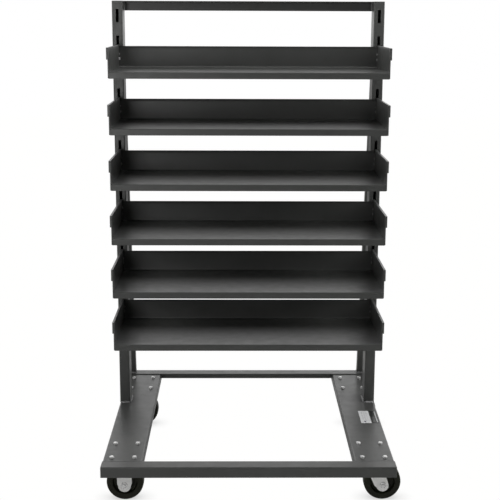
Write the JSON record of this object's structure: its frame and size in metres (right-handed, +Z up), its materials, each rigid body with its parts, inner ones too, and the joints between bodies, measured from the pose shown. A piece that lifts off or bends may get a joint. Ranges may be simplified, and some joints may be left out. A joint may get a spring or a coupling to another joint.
{
  "type": "mobile book cart",
  "caption": "Single-sided mobile book cart: braced slotted uprights on a four-caster base frame carry hook-on cantilever tray shelves.",
  "frame": {"origin": "on the floor, at the bottom centre of the whole cart's bounding box at rest; the base frame's middle plane is at X = -0.0155, because the swivel wheels trail past the right rail", "axes": "+Z up; the open fronts of the shelves face -Y; +X is the side with the swivel casters"},
  "size_m": [1.01, 1.02, 1.669],
  "materials": {
    "grey_paint": "semi-gloss powder coat, dark grey",
    "zinc_plate": "bright zinc plate",
    "bare_steel": "turned steel",
    "wheel_black": "hard black rubber, satin",
    "label_white": "matt coated label, blank",
    "label_dark": "gloss film, blank"
  },
  "bodies": {
    "frame": {"left_side_rail": "grey_paint", "right_side_rail": "grey_paint", "front_crossbar": "grey_paint", "rear_crossbar": "grey_paint", "left_upright": "grey_paint", "right_upright": "grey_paint", "top_crossbar": "grey_paint", "left_rear_brace": "grey_paint", "right_rear_brace": "grey_paint", "frame_weld_beads": "grey_paint", "white_label": "label_white", "dark_label": "label_dark", "caster_bolts": "zinc_plate", "caster_nuts": "zinc_plate", "front_left_bracket": "zinc_plate", "front_left_bushing": "bare_steel", "front_left_axle_bolt": "zinc_plate", "front_left_axle_nut": "zinc_plate", "rear_left_bracket": "zinc_plate", "rear_left_bushing": "bare_steel", "rear_left_axle_bolt": "zinc_plate", "rear_left_axle_nut": "zinc_plate", "front_right_top_plate": "zinc_plate", "front_right_kingpin": "bare_steel", "rear_right_top_plate": "zinc_plate", "rear_right_kingpin": "bare_steel"},
    "front_left_wheel_body": {"front_left_wheel": "wheel_black"},
    "rear_left_wheel_body": {"rear_left_wheel": "wheel_black"},
    "front_right_swivel_body": {"front_right_balls": "bare_steel", "front_right_fork": "zinc_plate", "front_right_bushing": "bare_steel", "front_right_axle_bolt": "zinc_plate", "front_right_axle_nut": "zinc_plate"},
    "front_right_wheel_body": {"front_right_wheel": "wheel_black"},
    "rear_right_swivel_body": {"rear_right_balls": "bare_steel", "rear_right_fork": "zinc_plate", "rear_right_bushing": "bare_steel", "rear_right_axle_bolt": "zinc_plate", "rear_right_axle_nut": "zinc_plate"},
    "rear_right_wheel_body": {"rear_right_wheel": "wheel_black"},
    "shelf_1": {"shelf_1_tray": "grey_paint", "shelf_1_left_bracket": "grey_paint", "shelf_1_right_bracket": "grey_paint"},
    "shelf_2": {"shelf_2_tray": "grey_paint", "shelf_2_left_bracket": "grey_paint", "shelf_2_right_bracket": "grey_paint"},
    "shelf_3": {"shelf_3_tray": "grey_paint", "shelf_3_left_bracket": "grey_paint", "shelf_3_right_bracket": "grey_paint"},
    "shelf_4": {"shelf_4_tray": "grey_paint", "shelf_4_left_bracket": "grey_paint", "shelf_4_right_bracket": "grey_paint"},
    "shelf_5": {"shelf_5_tray": "grey_paint", "shelf_5_left_bracket": "grey_paint", "shelf_5_right_bracket": "grey_paint"},
    "shelf_6": {"shelf_6_tray": "grey_paint", "shelf_6_left_bracket": "grey_paint", "shelf_6_right_bracket": "grey_paint"}
  },
  "joints": [
    {"name": "front_left_wheel_spin", "type": "hinge", "parent": "frame", "child": "front_left_wheel_body", "pos_m": [-0.4355, -0.365, 0.0635], "axis": [0, 1, 0], "continuous": true},
    {"name": "rear_left_wheel_spin", "type": "hinge", "parent": "frame", "child": "rear_left_wheel_body", "pos_m": [-0.4355, 0.346, 0.0635], "axis": [0, 1, 0], "continuous": true},
    {"name": "front_right_swivel", "type": "hinge", "parent": "frame", "child": "front_right_swivel_body", "pos_m": [0.4045, -0.365, 0.15], "axis": [0, 0, 1], "continuous": true},
    {"name": "front_right_wheel_spin", "type": "hinge", "parent": "front_right_swivel_body", "child": "front_right_wheel_body", "pos_m": [0.4415, -0.365, 0.0635], "axis": [0, 1, 0], "continuous": true},
    {"name": "rear_right_swivel", "type": "hinge", "parent": "frame", "child": "rear_right_swivel_body", "pos_m": [0.4045, 0.346, 0.15], "axis": [0, 0, 1], "continuous": true},
    {"name": "rear_right_wheel_spin", "type": "hinge", "parent": "rear_right_swivel_body", "child": "rear_right_wheel_body", "pos_m": [0.4415, 0.346, 0.0635], "axis": [0, 1, 0], "continuous": true},
    {"name": "shelf_1_lift_off", "type": "slide", "parent": "frame", "child": "shelf_1", "axis": [0, 0, 1], "range_m": [0, 0.012]},
    {"name": "shelf_2_lift_off", "type": "slide", "parent": "frame", "child": "shelf_2", "axis": [0, 0, 1], "range_m": [0, 0.012]},
    {"name": "shelf_3_lift_off", "type": "slide", "parent": "frame", "child": "shelf_3", "axis": [0, 0, 1], "range_m": [0, 0.012]},
    {"name": "shelf_4_lift_off", "type": "slide", "parent": "frame", "child": "shelf_4", "axis": [0, 0, 1], "range_m": [0, 0.012]},
    {"name": "shelf_5_lift_off", "type": "slide", "parent": "frame", "child": "shelf_5", "axis": [0, 0, 1], "range_m": [0, 0.012]},
    {"name": "shelf_6_lift_off", "type": "slide", "parent": "frame", "child": "shelf_6", "axis": [0, 0, 1], "range_m": [0, 0.012]}
  ]
}
